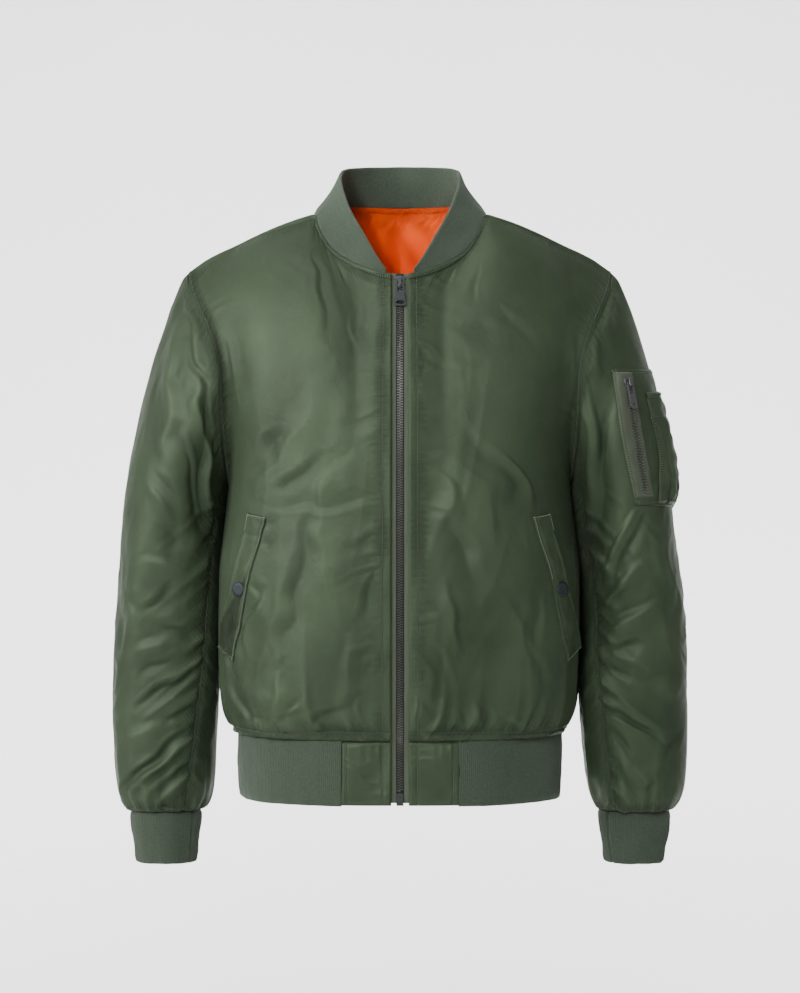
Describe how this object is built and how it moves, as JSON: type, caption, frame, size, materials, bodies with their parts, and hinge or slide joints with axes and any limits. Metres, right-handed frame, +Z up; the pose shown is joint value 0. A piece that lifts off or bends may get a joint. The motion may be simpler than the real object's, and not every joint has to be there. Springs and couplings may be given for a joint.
{
  "type": "bomber jacket",
  "caption": "Hip-length bomber jacket standing filled out, with rib collar, cuffs and hem, zip front, slanted pockets with snap buttons and a zipped sleeve pocket.",
  "frame": {"origin": "middle of the neck base, between the points where the shoulder seams meet the collar", "axes": "+Z up, the front faces -Y, +X is the wearer's left"},
  "size_m": [0.6224, 0.2859, 0.7575],
  "materials": {
    "nylon_olive": "satin nylon twill",
    "rib_sage": "matt rib knit",
    "lining_orange": "smooth lining",
    "tape_olive": "woven tape",
    "gunmetal": "dark plated metal"
  },
  "bodies": {
    "jacket": {"front_left": "nylon_olive", "front_right": "nylon_olive", "back": "nylon_olive", "sleeve_left": "nylon_olive", "sleeve_right": "nylon_olive", "band_end_left": "nylon_olive", "band_end_right": "nylon_olive", "pocket_welt_left": "nylon_olive", "pocket_welt_right": "nylon_olive", "sleeve_pocket": "nylon_olive", "pen_pocket": "nylon_olive", "collar": "rib_sage", "cuff_left": "rib_sage", "cuff_right": "rib_sage", "hem_rib": "rib_sage", "lining_back": "lining_orange", "zip_tape_left": "tape_olive", "zip_tape_right": "tape_olive", "sleeve_zip_tape": "tape_olive", "zip_chain": "gunmetal", "zip_box": "gunmetal", "zip_slider": "gunmetal", "snap_left": "gunmetal", "snap_right": "gunmetal", "sleeve_zip_chain": "gunmetal", "sleeve_zip_slider": "gunmetal"},
    "zip_pull_tab": {"zip_pull": "gunmetal"},
    "sleeve_pull_tab": {"sleeve_zip_pull": "gunmetal"}
  },
  "joints": [
    {"name": "zip_pull_hinge", "type": "hinge", "parent": "jacket", "child": "zip_pull_tab", "pos_m": [0, -0.09501, -0.07758], "axis": [-1, 0, 0], "range_deg": [0, 150]},
    {"name": "sleeve_pull_hinge", "type": "hinge", "parent": "jacket", "child": "sleeve_pull_tab", "pos_m": [0.24168, -0.07344, -0.1829], "axis": [-0.8219, -0.569, 0.0266], "range_deg": [0, 140]}
  ]
}
